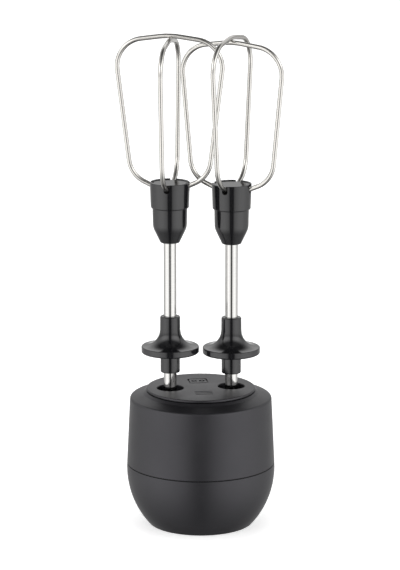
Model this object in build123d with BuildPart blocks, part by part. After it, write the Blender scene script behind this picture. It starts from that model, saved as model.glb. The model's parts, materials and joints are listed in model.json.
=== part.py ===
from build123d import *
import math
import os

# Twin beater mixing head: a gearbox with two pull-out beaters.
# Millimetres. Z runs up the drive axis, X through both beater axes, and the
# origin is the centre of the drive socket's mouth, on the base plane.

# ---- Driving dimensions ----

# Roundings of moulded edges
fine_round = 0.2
crisp_round = 0.3
soft_round = 0.5
full_round = 0.8

# Beaters
beater_spacing = 31.0
shaft_radius = 3.2
shaft_in_cup = 13.0
collar_above_plate = 7.0
collar_height = 28.9
collar_wall = 1.85
collar_flare = 9.5
disc_radius = 14.5
disc_thickness = 3.4
disc_dish = 0.4
disc_rim = 1.0
disc_below_collar_top = 15.45
neck_wall = 1.6
holder_above_collar = 37.7
cup_height = 17.6
cup_taper_height = 7.7
cup_spigot_height = 2.5
cup_draft = 0.1
cap_radius = 9.55
holder_step = 0.95
cap_flare = 0.45
cap_height = 13.0
cap_wall = 1.4
cap_lip = 1.0
cap_face_recess = 0.45
cap_face_thickness = 1.15
notch_side_gap = 0.25
notch_floor_gap = 0.2
notch_reach = 3.4
wire_diameter = 2.4
wire_gap = 0.05
leg_radius = 3.4
leg_bend = 2.5
leg_depth = 2.9
retainer_thickness = 2.5
loop_height = 73.2
loop_shoulder_drop = 3.8
crown_rounding = 40.0
shoulder_rounding = 14.0
foot_rounding = 13.5
outer_half_width = 27.9
outer_foot_width = 19.6
outer_foot_height = 3.0
outer_bend_depth = 4.6
inner_half_width = 27.3
inner_foot_width = 21.3
inner_foot_height = 2.4
inner_bend_depth = 5.0
left_phase = -16.6
eighth_turn = 45.0
left_lift = 1.45

# Gears
socket_teeth = 31
idler_pinion_teeth = 10
idler_wheel_teeth = 34
input_teeth = 10
pressure_angle = 25.0
addendum = 0.8
dedendum = 1.0
tooth_thinning = 0.07
idler_side_gap = 1.0
gear_width = 7.0
wheel_width = 5.0
wheel_gap = 1.6
end_play = 0.3

# Drive end
socket_radius = 21.5
liner_wall = 1.2
socket_wall = 2.0
socket_depth = 20.0
socket_floor = 2.4
base_land = 1.6
base_thickness = 5.0
base_rounding = 0.8
latch_groove_level = 7.0
latch_groove_height = 2.4
latch_groove_depth = 0.7
coupling_radius = 7.0
coupling_height = 10.3
coupling_top_gap = 1.7
star_outer = 4.6
star_inner = 3.5
star_points = 6
star_depth = 5.5
star_web = 0.8
input_shaft_radius = 2.5
pinion_seat_radius = 2.0
seal_radius = 5.6
seal_depth = 2.2
tower_wall = 2.5
washer_thickness = 0.5
clip_thickness = 0.7
clip_radius = 4.6
clip_mouth = 3.0
groove_depth = 0.4

# Housing
wall = 2.4
frame_margin = 1.2
frame_clearance = 0.35
side_taper = 1.65
bowl_bulge = 42.9
seam_rise = 8.8
seam_gap = 0.3
seam_lip = 0.6
spigot_height = 2.0
spigot_thickness = 1.4
fit_gap = 0.05
loose_gap = 0.15
rim_rounding = 1.6
rim_below_neck = 3.2
rim_web = 1.5
crease_below_neck = 1.1
neck_sweep = 1.6
neck_rim = 0.2
plate_margin = 5.15
plate_lip = 1.2
plate_shadow_gap = 0.35
plate_overhang = 2.0
plate_thickness = 2.4
plate_spigot_depth = 2.5
plate_skirt = 2.0
ledge_thickness = 1.6
ledge_width = 1.75
hub_hole_gap = 0.95
hub_recess = 3.4
hub_collar_wall = 1.3
hub_collar_drop = 1.0
seal_thickness = 0.8
mark_depth = 0.5
mark_line = 0.8
mark_width = 10.0
mark_height = 9.0
mark_corner = 1.3
mark_ring_spacing = 4.0
mark_ring_radius = 1.5
mark_bar_spacing = 2.6
mark_offset = 12.0

# Frame of the gear train
frame_plate = 2.6
plate_rise = 2.8
wheel_rise = 1.4
pillar_radius = 3.0
screw_radius = 1.5
screw_head_radius = 2.8
screw_head_height = 2.2
screw_bite = 8.9
screw_tip_gap = 0.8
housing_screw_circle = 17.0
post_wall = 1.7
idler_pin_radius = 2.0
idler_boss_wall = 2.2
bush_wall = 1.5
flange_width = 1.2
flange_thickness = 0.8
running_gap = 0.04

# Hubs and what sits in them
hub_wall = 0.88
hub_floor = 1.8
hub_end_gap = 0.4
hub_boss_wall = 1.4
hub_bore_gap = 0.06
seat_depth = 7.0
shaft_end_gap = 0.8
lug_reach = 1.6
lug_width = 1.5
lug_height = 4.0
lug_gap = 0.12
spring_wire = 0.9
spring_level = 7.0
spring_opening = 60.0
detent_depth = 0.25

# ---- Derived gear train ----

socket_module = beater_spacing / socket_teeth
socket_pitch = beater_spacing / 2
socket_tip = socket_pitch + addendum * socket_module
idler_pinion_tip = (idler_pinion_teeth / 2 + addendum) * socket_module

# The idler meshes the left socket gear and stands clear of the right one.
mesh_distance = (socket_teeth + idler_pinion_teeth) / 2 * socket_module
clear_distance = socket_tip + idler_pinion_tip + idler_side_gap
idler_x = (mesh_distance**2 - clear_distance**2) / (2 * beater_spacing)
idler_y = math.sqrt(mesh_distance**2 - (idler_x + socket_pitch) ** 2)
idler_distance = math.hypot(idler_x, idler_y)
reduction_module = 2 * idler_distance / (idler_wheel_teeth + input_teeth)

# ---- Derived levels, from the base up ----

floor_top = socket_depth + socket_floor
seam = floor_top + seam_rise
plate_bottom = seam + plate_rise
plate_top = plate_bottom + frame_plate
wheel_bottom = plate_top + wheel_rise
wheel_top = wheel_bottom + wheel_width
gear_bottom = wheel_top + wheel_gap
gear_top = gear_bottom + gear_width
cover_bottom = gear_top + end_play + flange_thickness
cover_top = cover_bottom + frame_plate
screw_tip = cover_top + screw_bite
ceiling = screw_tip + screw_tip_gap
ledge = ceiling + ledge_thickness
lip_bottom = ledge + plate_spigot_depth
neck_top = lip_bottom - plate_shadow_gap
top_level = lip_bottom + plate_lip
hub_top = top_level - hub_recess
hub_bottom = plate_bottom + hub_end_gap
seat_level = hub_top - seat_depth
spring_centre = hub_bottom + spring_level
coupling_top = socket_depth - coupling_top_gap
coupling_bottom = coupling_top - coupling_height
shaft_foot = coupling_bottom + star_depth + star_web

# ---- Derived radii ----

lug_radius = shaft_radius + lug_reach
hub_radius = lug_radius + lug_gap + hub_wall
hub_hole_radius = hub_radius + hub_hole_gap
collar_radius = shaft_radius + collar_wall
neck_radius = shaft_radius + neck_wall
cup_radius = cap_radius - holder_step
cap_bore = cap_radius - cap_wall
wire_radius = wire_diameter / 2
notch_radius = wire_radius + notch_side_gap
frame_radius = socket_pitch + socket_tip + frame_margin
pillar_circle = frame_radius - pillar_radius
inner_radius = frame_radius + frame_clearance
rim_radius = inner_radius + wall
body_radius = rim_radius + side_taper
liner_outer = socket_radius + liner_wall
liner_bore = liner_outer + fit_gap
tube_radius = liner_bore + socket_wall
base_radius = tube_radius + base_land
bush_radius = hub_radius + bush_wall
input_bush_radius = input_shaft_radius + bush_wall
tower_radius = input_bush_radius + tower_wall
plate_radius = socket_pitch + hub_hole_radius + plate_margin
plate_spigot = plate_radius - plate_overhang
opening_radius = plate_spigot + loose_gap

sides = {"left": -socket_pitch, "right": socket_pitch}
lifts = {"left": left_lift, "right": 0.0}
# Counter-rotating loops mesh when the two phases add up to an eighth of a turn.
phases = {"left": left_phase, "right": -eighth_turn - left_phase}


# ---- Helpers ----


def save(part, name):
    """Label a finished piece and write it."""
    part.label = name
    export_step(part, f"parts/{name}.step")


def upright(x=0.0, y=0.0):
    """The axis of a turned piece."""
    return Axis((x, y, 0), (0, 0, 1))


def section(corners, x=0.0, y=0.0):
    """A closed outline beside an upright axis: corners of radius, height, rounding."""
    with BuildSketch(Plane((x, y, 0), x_dir=(1, 0, 0), z_dir=(0, -1, 0))) as outline:
        with BuildLine():
            points = [(radius, height) for radius, height, _ in corners]
            FilletPolyline(*points, radius=[corner[2] for corner in corners], close=True)
        make_face()
    return outline.sketch


def ring(name, outer, inner, bottom, top, x=0.0, y=0.0):
    """A plain sleeve or washer."""
    with BuildPart() as sleeve:
        with BuildSketch(Plane((x, y, bottom))):
            Circle(outer)
            Circle(inner, mode=Mode.SUBTRACT)
        extrude(amount=top - bottom)
    save(sleeve.part, name)


def bush(name, bore, outer, seat, end, x=0.0):
    """A bush whose flange lies outside the seat face, on the side away from end."""
    away = math.copysign(flange_thickness, seat - end)
    with BuildPart() as piece:
        outline = [
            (bore, end, 0),
            (outer, end, 0),
            (outer, seat, 0),
            (outer + flange_width, seat, 0),
            (outer + flange_width, seat + away, 0),
            (bore, seat + away, 0),
        ]
        revolve(section(outline, x), axis=upright(x))
    save(piece.part, name)


def polar(radius, degrees):
    angle = math.radians(degrees)
    return (radius * math.cos(angle), radius * math.sin(angle))


def gear_outline(teeth, module, phase):
    """Stub involute teeth, one of them centred on the phase angle."""
    pitch = teeth * module / 2
    base = pitch * math.cos(math.radians(pressure_angle))
    root = pitch - dedendum * module
    tip = pitch + addendum * module

    def half_angle(radius):
        slope = math.acos(min(1.0, base / radius))
        at_pitch = math.radians(pressure_angle)
        lean = math.tan(at_pitch) - at_pitch - math.tan(slope) + slope
        return math.degrees(math.pi / (2 * teeth) - tooth_thinning / pitch + lean)

    foot = max(root, base)
    middle = (foot + tip) / 2
    step = 360 / teeth
    with BuildSketch() as outline:
        with BuildLine():
            for tooth in range(teeth):
                centre = phase + tooth * step
                rise = [polar(r, centre - half_angle(r)) for r in (foot, middle, tip)]
                fall = [polar(r, centre + half_angle(r)) for r in (tip, middle, foot)]
                bottom_start = polar(root, centre + half_angle(foot))
                bottom_end = polar(root, centre + step - half_angle(foot))
                ThreePointArc(*rise)
                ThreePointArc(rise[-1], polar(tip, centre), fall[0])
                ThreePointArc(*fall)
                if root < base:
                    Line(fall[-1], bottom_start)
                ThreePointArc(bottom_start, polar(root, centre + step / 2), bottom_end)
                if root < base:
                    Line(bottom_end, polar(foot, centre + step - half_angle(foot)))
        make_face()
    return outline.sketch


def meshing_phase(teeth, phase, bearing, next_teeth):
    """Phase of the gear that meshes at a bearing, with a gap where a tooth comes."""
    tooth_offset = (bearing - phase) * teeth / 360
    return bearing + 180 + (tooth_offset - 0.5) * 360 / next_teeth


def arc_centre(start, end, radius):
    """Centre of the arc that bulges away from the axis between two points."""
    (x0, z0), (x1, z1) = start, end
    half = math.hypot(x1 - x0, z1 - z0) / 2
    reach = math.sqrt(radius**2 - half**2)
    normal = ((z1 - z0) / (2 * half), (x0 - x1) / (2 * half))
    return ((x0 + x1) / 2 + normal[0] * reach, (z0 + z1) / 2 + normal[1] * reach)


bowl_centre = arc_centre((body_radius, seam), (base_radius, 0), bowl_bulge)


def bowl_reach(height, inset=0.0):
    """Radius of the bowl, or of its inside, at a height."""
    return bowl_centre[0] + math.sqrt((bowl_bulge - inset) ** 2 - (height - bowl_centre[1]) ** 2)


def crossed_bars(length, width, phase):
    """Two bars crossed at right angles."""
    with BuildSketch() as cross:
        Rectangle(length, width, rotation=phase)
        Rectangle(length, width, rotation=phase + 90)
    return cross.sketch


os.makedirs("parts", exist_ok=True)

# ---- Housing ----

spigot_outer = body_radius - wall - loose_gap
spigot_inner = spigot_outer - spigot_thickness
spigot_root = seam - spigot_height
bowl_start = spigot_root - spigot_thickness
post_spots = PolarLocations(housing_screw_circle, 4, start_angle=eighth_turn)
pillar_spots = PolarLocations(pillar_circle, 4, start_angle=eighth_turn)

with BuildPart() as lower_housing:
    with BuildSketch(Plane.XZ):
        with BuildLine():
            Polyline((liner_bore, 0), (base_radius, 0))
            ThreePointArc((base_radius, 0), (bowl_reach(seam / 2), seam / 2), (body_radius, seam))
            Polyline(
                (body_radius, seam),
                (spigot_outer, seam),
                (spigot_outer, seam + spigot_height),
                (spigot_inner, seam + spigot_height),
                (spigot_inner, spigot_root),
                (bowl_reach(bowl_start, wall), bowl_start),
            )
            inside_middle = (bowl_start + base_thickness) / 2
            ThreePointArc(
                (bowl_reach(bowl_start, wall), bowl_start),
                (bowl_reach(inside_middle, wall), inside_middle),
                (bowl_reach(base_thickness, wall), base_thickness),
            )
            Polyline(
                (bowl_reach(base_thickness, wall), base_thickness),
                (tube_radius, base_thickness),
                (tube_radius, floor_top),
                (tower_radius, floor_top),
                (tower_radius, seam),
                (input_bush_radius + fit_gap, seam),
                (input_bush_radius + fit_gap, socket_depth + seal_depth),
                (seal_radius, socket_depth + seal_depth),
                (seal_radius, socket_depth),
                (liner_bore, socket_depth),
                (liner_bore, 0),
            )
        make_face()
    revolve(axis=Axis.Z)
    base_edges = lower_housing.edges().filter_by(GeomType.CIRCLE).group_by(Axis.Z)[0]
    fillet(base_edges.sort_by(SortBy.RADIUS)[-1], base_rounding)
    with BuildSketch(Plane.XY.offset(floor_top)):
        with post_spots:
            Circle(screw_radius + loose_gap + post_wall)
    extrude(amount=plate_bottom - floor_top)
    with BuildSketch(Plane.XY.offset(socket_depth)):
        with post_spots:
            Circle(screw_radius + loose_gap)
    extrude(amount=plate_bottom - socket_depth, mode=Mode.SUBTRACT)
    with BuildSketch(Plane.XY.offset(socket_depth)):
        with post_spots:
            Circle(screw_head_radius + loose_gap)
    extrude(amount=screw_head_height, mode=Mode.SUBTRACT)
save(lower_housing.part, "lower_housing")

neck_radius_outside = plate_radius + neck_rim
crease_radius = neck_radius_outside + neck_sweep
shell_foot = seam + seam_gap

with BuildPart() as upper_housing:
    shell = [
        (body_radius, shell_foot, 0),
        (rim_radius, neck_top - rim_below_neck, rim_rounding),
        (crease_radius, neck_top - crease_below_neck, neck_sweep),
        (neck_radius_outside, neck_top, 0),
        (opening_radius, neck_top, 0),
        (opening_radius, ledge, 0),
        (opening_radius - ledge_width, ledge, 0),
        (opening_radius - ledge_width, ceiling, 0),
        (inner_radius - rim_web, ceiling, 0),
        (inner_radius, ceiling - rim_web, 0),
        (body_radius - wall, shell_foot, 0),
    ]
    revolve(section(shell), axis=Axis.Z)
    with BuildSketch(Plane.XY.offset(cover_top)):
        with pillar_spots:
            Circle(pillar_radius)
    extrude(amount=ceiling - cover_top)
    with BuildSketch(Plane.XY.offset(cover_top)):
        with pillar_spots:
            Circle(screw_radius + fit_gap)
    extrude(amount=screw_tip - cover_top, mode=Mode.SUBTRACT)
save(upper_housing.part, "upper_housing")

ring("seam_gasket", body_radius - seam_lip, body_radius - wall, seam, shell_foot)

hub_spots = Locations((sides["left"], 0), (sides["right"], 0))
plate_inside = top_level - plate_thickness
skirt_bore = plate_spigot - plate_skirt
collar_foot = ledge - hub_collar_drop
hub_collar_radius = hub_hole_radius + hub_collar_wall

with BuildPart() as top_plate:
    lid = [
        (0, top_level, 0),
        (plate_radius, top_level, soft_round),
        (plate_radius, lip_bottom, fine_round),
        (plate_spigot, lip_bottom, 0),
        (plate_spigot, ledge, crisp_round),
        (skirt_bore, ledge, 0),
        (skirt_bore, plate_inside, 0),
        (0, plate_inside, 0),
    ]
    revolve(section(lid), axis=Axis.Z)
    with BuildSketch(Plane.XY.offset(collar_foot)):
        with hub_spots:
            Circle(hub_collar_radius)
    extrude(amount=plate_inside - collar_foot)
    with BuildSketch(Plane.XY.offset(collar_foot)):
        with hub_spots:
            Circle(hub_hole_radius)
    extrude(amount=top_level - collar_foot, mode=Mode.SUBTRACT)
    hole_rims = top_plate.edges().filter_by(GeomType.CIRCLE).group_by(Axis.Z)[-1]
    fillet(hole_rims.group_by(SortBy.RADIUS)[0], crisp_round)
    with BuildSketch(Plane.XY.offset(top_level)):
        with Locations((0, mark_offset)):
            RectangleRounded(mark_width, mark_height, mark_corner)
            RectangleRounded(
                mark_width - 2 * mark_line,
                mark_height - 2 * mark_line,
                mark_corner - mark_line,
                mode=Mode.SUBTRACT,
            )
            with GridLocations(mark_ring_spacing, 0, 2, 1):
                Circle(mark_ring_radius)
                Circle(mark_ring_radius - mark_line, mode=Mode.SUBTRACT)
        with Locations((0, -mark_offset)):
            with GridLocations(0, mark_bar_spacing, 1, 3):
                Rectangle(mark_height, mark_line)
    extrude(amount=-mark_depth, mode=Mode.SUBTRACT)
save(top_plate.part, "top_plate")

seal_bottom = collar_foot + fit_gap
seal_bore = hub_radius + hub_bore_gap
seal_outer = hub_hole_radius - fit_gap
for side, x in sides.items():
    ring(f"{side}_dust_seal", seal_outer, seal_bore, seal_bottom, seal_bottom + seal_thickness, x)

# ---- Drive end ----

latch_groove_top = latch_groove_level + latch_groove_height
latch_groove_radius = socket_radius + latch_groove_depth

with BuildPart() as socket_liner:
    grooved_wall = [
        (socket_radius, 0, 0),
        (liner_outer, 0, 0),
        (liner_outer, socket_depth, 0),
        (socket_radius, socket_depth, 0),
        (socket_radius, latch_groove_top, 0),
        (latch_groove_radius, latch_groove_top, 0),
        (latch_groove_radius, latch_groove_level, 0),
        (socket_radius, latch_groove_level, 0),
    ]
    revolve(section(grooved_wall), axis=Axis.Z)
save(socket_liner.part, "socket_liner")

with BuildPart() as drive_coupling:
    with BuildSketch(Plane.XY.offset(coupling_bottom)):
        Circle(coupling_radius)
    extrude(amount=coupling_height)
    chamfer(drive_coupling.edges().group_by(Axis.Z)[0], star_web)
    with BuildSketch(Plane.XY.offset(coupling_bottom)):
        with BuildLine():
            star = []
            for point in range(2 * star_points):
                reach = star_outer if point % 2 == 0 else star_inner
                star.append(polar(reach, point * 180 / star_points))
            Polyline(*star, close=True)
        make_face()
    extrude(amount=star_depth, mode=Mode.SUBTRACT)
    with BuildSketch(Plane.XY.offset(shaft_foot)):
        Circle(input_shaft_radius)
    extrude(amount=coupling_top - shaft_foot, mode=Mode.SUBTRACT)
save(drive_coupling.part, "drive_coupling")

bush_flange_top = seam + flange_thickness
washer_bottom = bush_flange_top + 2 * running_gap
clip_bottom = washer_bottom + washer_thickness
clip_top = clip_bottom + clip_thickness
pinion_bottom = wheel_bottom - end_play
pinion_top = wheel_top + end_play
groove_radius = input_shaft_radius - groove_depth

with BuildPart() as input_shaft:
    stepped = [
        (0, shaft_foot, 0),
        (input_shaft_radius, shaft_foot, 0),
        (input_shaft_radius, clip_bottom - fit_gap, 0),
        (groove_radius, clip_bottom - fit_gap, 0),
        (groove_radius, clip_top + fit_gap, 0),
        (input_shaft_radius, clip_top + fit_gap, 0),
        (input_shaft_radius, pinion_bottom, 0),
        (pinion_seat_radius, pinion_bottom, 0),
        (pinion_seat_radius, pinion_top + end_play, crisp_round),
        (0, pinion_top + end_play, 0),
    ]
    revolve(section(stepped), axis=Axis.Z)
save(input_shaft.part, "input_shaft")

input_bore = input_shaft_radius + running_gap
bush("input_bush", input_bore, input_bush_radius, seam, socket_depth + seal_depth)
ring("shaft_seal", seal_radius - fit_gap, input_bore, socket_depth, socket_depth + seal_depth)
ring("pinion_bush", input_bush_radius, input_bore, plate_bottom, plate_top)
ring("thrust_washer", clip_radius, input_bore, washer_bottom, clip_bottom)

with BuildPart() as shaft_clip:
    with BuildSketch(Plane.XY.offset(clip_bottom)):
        Circle(clip_radius)
        Circle(groove_radius + fit_gap, mode=Mode.SUBTRACT)
        with Locations((0, -clip_radius)):
            Rectangle(clip_mouth, 2 * clip_radius, mode=Mode.SUBTRACT)
    extrude(amount=clip_thickness)
save(shaft_clip.part, "shaft_clip")

# ---- Gear frame ----


def frame_disc(level, bores):
    """One plate of the gear frame: a disc with holes of radius, x, y."""
    with BuildPart() as disc:
        with BuildSketch(Plane.XY.offset(level)):
            Circle(frame_radius)
            with pillar_spots:
                Circle(screw_radius + loose_gap, mode=Mode.SUBTRACT)
            for radius, x, y in bores:
                with Locations((x, y)):
                    Circle(radius, mode=Mode.SUBTRACT)
        extrude(amount=frame_plate)
    return disc.part


shared_bores = [
    (bush_radius + fit_gap, sides["left"], 0),
    (bush_radius + fit_gap, sides["right"], 0),
    (idler_pin_radius, idler_x, idler_y),
]
post_bores = [
    (screw_radius + fit_gap, *polar(housing_screw_circle, eighth_turn + quarter * 90))
    for quarter in range(4)
]
input_opening = [(input_bush_radius + fit_gap, 0, 0)]

save(frame_disc(plate_bottom, shared_bores + post_bores + input_opening), "gear_plate")
save(frame_disc(cover_bottom, shared_bores), "gear_cover")

with BuildPart() as frame_pillars:
    with BuildSketch(Plane.XY.offset(plate_top)):
        with pillar_spots:
            Circle(pillar_radius)
            Circle(screw_radius + loose_gap, mode=Mode.SUBTRACT)
    extrude(amount=cover_bottom - plate_top)
save(frame_pillars.part, "frame_pillars")


def screws(name, spots, head_seat, tip):
    """Pan-head screws that enter from below, with a hexagon socket."""
    with BuildPart() as group:
        with BuildSketch(Plane.XY.offset(head_seat)):
            with spots:
                Circle(screw_radius)
        extrude(amount=tip - head_seat)
        with BuildSketch(Plane.XY.offset(head_seat)):
            with spots:
                Circle(screw_head_radius)
        extrude(amount=-screw_head_height)
        with BuildSketch(Plane.XY.offset(head_seat - screw_head_height)):
            with spots:
                RegularPolygon(screw_radius, 6)
        extrude(amount=screw_head_height / 2, mode=Mode.SUBTRACT)
    save(group.part, name)


screws("frame_screws", pillar_spots, plate_bottom, screw_tip - fit_gap)
screws("housing_screws", post_spots, socket_depth + screw_head_height, plate_top - fit_gap)

with BuildPart() as idler_pin:
    with BuildSketch(Plane((idler_x, idler_y, plate_bottom))):
        Circle(idler_pin_radius)
    extrude(amount=cover_top - plate_bottom)
save(idler_pin.part, "idler_pin")

idler_boss = idler_pin_radius + idler_boss_wall
idler_bore = idler_pin_radius + running_gap
washer_top = plate_top + washer_thickness
ring("idler_washer", idler_boss, idler_bore, plate_top, washer_top, idler_x, idler_y)

# ---- Gears ----

right_phase = meshing_phase(socket_teeth, 0, 0, socket_teeth)
idler_bearing = math.degrees(math.atan2(idler_y, idler_x - sides["left"]))
idler_phase = meshing_phase(socket_teeth, 0, idler_bearing, idler_pinion_teeth)
input_bearing = math.degrees(math.atan2(-idler_y, -idler_x))
input_phase = meshing_phase(idler_wheel_teeth, idler_phase, input_bearing, input_teeth)
gear_phases = {"left": 0.0, "right": right_phase}

wheel_root = (idler_wheel_teeth / 2 - dedendum) * reduction_module
window_circle = (wheel_root + idler_pinion_tip) / 2
window_radius = (wheel_root - idler_pinion_tip) / 4

with BuildPart() as idler_gear:
    with BuildSketch(Plane((idler_x, idler_y, wheel_bottom))):
        add(gear_outline(idler_wheel_teeth, reduction_module, idler_phase))
        with PolarLocations(window_circle, 6):
            Circle(window_radius, mode=Mode.SUBTRACT)
    extrude(amount=wheel_width)
    with BuildSketch(Plane((idler_x, idler_y, wheel_top))):
        add(gear_outline(idler_pinion_teeth, socket_module, idler_phase))
    extrude(amount=gear_top - wheel_top)
    with BuildSketch(Plane((idler_x, idler_y, washer_top + running_gap))):
        Circle(idler_boss)
    extrude(amount=cover_bottom - running_gap - washer_top - end_play)
    with BuildSketch(Plane((idler_x, idler_y, plate_top))):
        Circle(idler_bore)
    extrude(amount=cover_bottom - plate_top, mode=Mode.SUBTRACT)
save(idler_gear.part, "idler_gear")

with BuildPart() as input_pinion:
    with BuildSketch(Plane.XY.offset(pinion_bottom)):
        add(gear_outline(input_teeth, reduction_module, input_phase))
        Circle(pinion_seat_radius, mode=Mode.SUBTRACT)
    extrude(amount=pinion_top - pinion_bottom)
save(input_pinion.part, "input_pinion")

boss_radius = hub_radius + hub_boss_wall
boss_bottom = plate_top + flange_thickness + end_play
hub_bore = shaft_radius + hub_bore_gap
gear_root = (socket_teeth / 2 - dedendum) * socket_module


def socket_gear(side):
    """A beater's gear with its hub: bore, four lug slots and a spring groove."""
    x = sides[side]
    seat = seat_level + lifts[side]
    with BuildPart() as gear:
        with BuildSketch(Plane((x, 0, gear_bottom))):
            add(gear_outline(socket_teeth, socket_module, gear_phases[side]))
            with PolarLocations((boss_radius + gear_root) / 2, 6):
                Circle((gear_root - boss_radius) / 4, mode=Mode.SUBTRACT)
        extrude(amount=gear_width)
        hub = [
            (0, hub_bottom, 0),
            (hub_radius, hub_bottom, 0),
            (hub_radius, boss_bottom, 0),
            (boss_radius, boss_bottom, 0),
            (boss_radius, gear_top, 0),
            (hub_radius, gear_top, 0),
            (hub_radius, hub_top, crisp_round),
            (0, hub_top, 0),
        ]
        revolve(section(hub, x), axis=upright(x))
        groove_half = spring_wire / 2 + loose_gap
        bore = [
            (0, hub_bottom + hub_floor, 0),
            (hub_bore, hub_bottom + hub_floor, 0),
            (hub_bore, spring_centre - groove_half, 0),
            (hub_bore + spring_wire + loose_gap, spring_centre - groove_half, 0),
            (hub_bore + spring_wire + loose_gap, spring_centre + groove_half, 0),
            (hub_bore, spring_centre + groove_half, 0),
            (hub_bore, hub_top, 0),
            (0, hub_top, 0),
        ]
        revolve(section(bore, x), axis=upright(x), mode=Mode.SUBTRACT)
        with BuildSketch(Plane((x, 0, seat))):
            add(crossed_bars(2 * (lug_radius + lug_gap), lug_width + 2 * lug_gap, phases[side]))
        extrude(amount=hub_top - seat, mode=Mode.SUBTRACT)
    save(gear.part, f"{side}_socket_gear")


def detent_spring(side):
    """An open spring ring in the hub's groove."""
    x = sides[side]
    with BuildPart() as spring:
        with BuildSketch(Plane((x, 0, 0), x_dir=(1, 0, 0), z_dir=(0, -1, 0))):
            with Locations((hub_bore + spring_wire / 2, spring_centre)):
                Circle(spring_wire / 2)
        revolve(axis=upright(x), revolution_arc=360 - spring_opening)
    save(spring.part, f"{side}_detent_spring")


# ---- Beaters ----

collar_bottom = top_level + collar_above_plate
collar_top = collar_bottom + collar_height
holder_bottom = collar_top + holder_above_collar
step_level = holder_bottom + cup_height
cap_top = step_level + cap_height
cap_face = cap_top - cap_face_recess
cap_ceiling = cap_face - cap_face_thickness
cup_spigot = cap_bore - fit_gap
cup_top = step_level + cup_spigot_height
leg_foot = cup_top - leg_depth
shaft_top = holder_bottom + shaft_in_cup
shaft_bottom = hub_bottom + hub_floor + shaft_end_gap

# The notches clear the loop that leaves a holder lowest.
wire_slope = (inner_foot_height + inner_bend_depth) / (inner_foot_width - leg_radius)
wire_drop = inner_bend_depth - wire_slope * (cap_bore - leg_radius)
notch_depth = wire_drop + wire_radius * math.hypot(1, wire_slope) + notch_floor_gap


def leg_spots(side):
    """Where the four wire ends stand in a holder."""
    return PolarLocations(leg_radius, 4, start_angle=phases[side])


def beater_shaft(side):
    x = sides[side]
    lift = lifts[side]
    detent_half = spring_wire / 2 + loose_gap
    with BuildPart() as shaft:
        rod = [
            (0, shaft_bottom + lift, 0),
            (shaft_radius, shaft_bottom + lift, full_round),
            (shaft_radius, spring_centre - detent_half, 0),
            (shaft_radius - detent_depth, spring_centre, 0),
            (shaft_radius, spring_centre + detent_half, 0),
            (shaft_radius, shaft_top + lift, 0),
            (0, shaft_top + lift, 0),
        ]
        revolve(section(rod, x), axis=upright(x))
        with BuildSketch(Plane((x, 0, seat_level + lift))):
            add(crossed_bars(2 * lug_radius, lug_width, phases[side]))
        extrude(amount=lug_height)
    save(shaft.part, f"{side}_beater_shaft")


def splash_collar(side):
    x = sides[side]
    lift = lifts[side]
    disc_top = collar_top - disc_below_collar_top
    disc_bottom = disc_top - disc_thickness
    tube_foot = collar_radius - loose_gap
    flare = min(collar_flare, disc_radius - collar_radius - disc_rim)
    with BuildPart() as collar:
        outline = [
            (shaft_radius, collar_bottom + lift, 0),
            (tube_foot, collar_bottom + lift, soft_round),
            (tube_foot, disc_bottom + lift, soft_round),
            (disc_radius, disc_bottom + lift, full_round),
            (disc_radius, disc_top + lift, soft_round),
            (collar_radius + loose_gap, disc_top + disc_dish + lift, flare),
            (collar_radius, collar_top + lift, full_round),
            (shaft_radius, collar_top + lift, 0),
        ]
        revolve(section(outline, x), axis=upright(x))
    save(collar.part, f"{side}_splash_collar")


def wire_cup(side):
    x = sides[side]
    lift = lifts[side]
    with BuildPart() as cup:
        outline = [
            (0, shaft_top + lift, 0),
            (shaft_radius, shaft_top + lift, 0),
            (shaft_radius, holder_bottom + lift, 0),
            (neck_radius, holder_bottom + lift, soft_round),
            (cup_radius - cup_draft, holder_bottom + cup_taper_height + lift, cup_radius),
            (cup_radius + cup_draft, step_level + lift, fine_round),
            (cup_spigot, step_level + lift, 0),
            (cup_spigot, cup_top + lift, 0),
            (0, cup_top + lift, 0),
        ]
        revolve(section(outline, x), axis=upright(x))
        with BuildSketch(Plane((x, 0, cup_top + lift))):
            with leg_spots(side):
                Circle(wire_radius + fit_gap)
        extrude(amount=-leg_depth, mode=Mode.SUBTRACT)
    save(cup.part, f"{side}_wire_cup")


def wire_retainer(side):
    with BuildPart() as retainer:
        with BuildSketch(Plane((sides[side], 0, cup_top + lifts[side]))):
            Circle(cup_spigot)
            with leg_spots(side):
                Circle(wire_radius + fit_gap, mode=Mode.SUBTRACT)
        extrude(amount=retainer_thickness)
    save(retainer.part, f"{side}_wire_retainer")


def wire_cap(side):
    """The notched upper part of a holder, closed by a slightly sunken face."""
    x = sides[side]
    lift = lifts[side]
    rim = cap_radius + cap_flare
    with BuildPart() as cap:
        outline = [
            (0, cap_face + lift, 0),
            (rim - cap_lip, cap_face + lift, 0),
            (rim - full_round, cap_top + lift, fine_round),
            (rim, cap_top + lift, crisp_round),
            (cap_radius, step_level + lift, full_round),
            (cap_bore, step_level + lift, 0),
            (cap_bore, cap_ceiling + lift, 0),
            (0, cap_ceiling + lift, 0),
        ]
        revolve(section(outline, x), axis=upright(x))
        for quarter in range(4):
            bearing = phases[side] + quarter * 90
            across = polar(1, bearing + 90)
            along = polar(1, bearing)
            start = (x + (rim - notch_reach) * along[0], (rim - notch_reach) * along[1], lift)
            with BuildSketch(Plane(start, x_dir=(*across, 0), z_dir=(*along, 0))):
                notch_centre = cap_top - notch_depth + notch_radius
                with Locations((0, notch_centre)):
                    Circle(notch_radius)
                with Locations((0, notch_centre + notch_depth / 2)):
                    Rectangle(2 * notch_radius, notch_depth)
            extrude(amount=2 * notch_reach, mode=Mode.SUBTRACT)
    save(cap.part, f"{side}_wire_cap")


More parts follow.
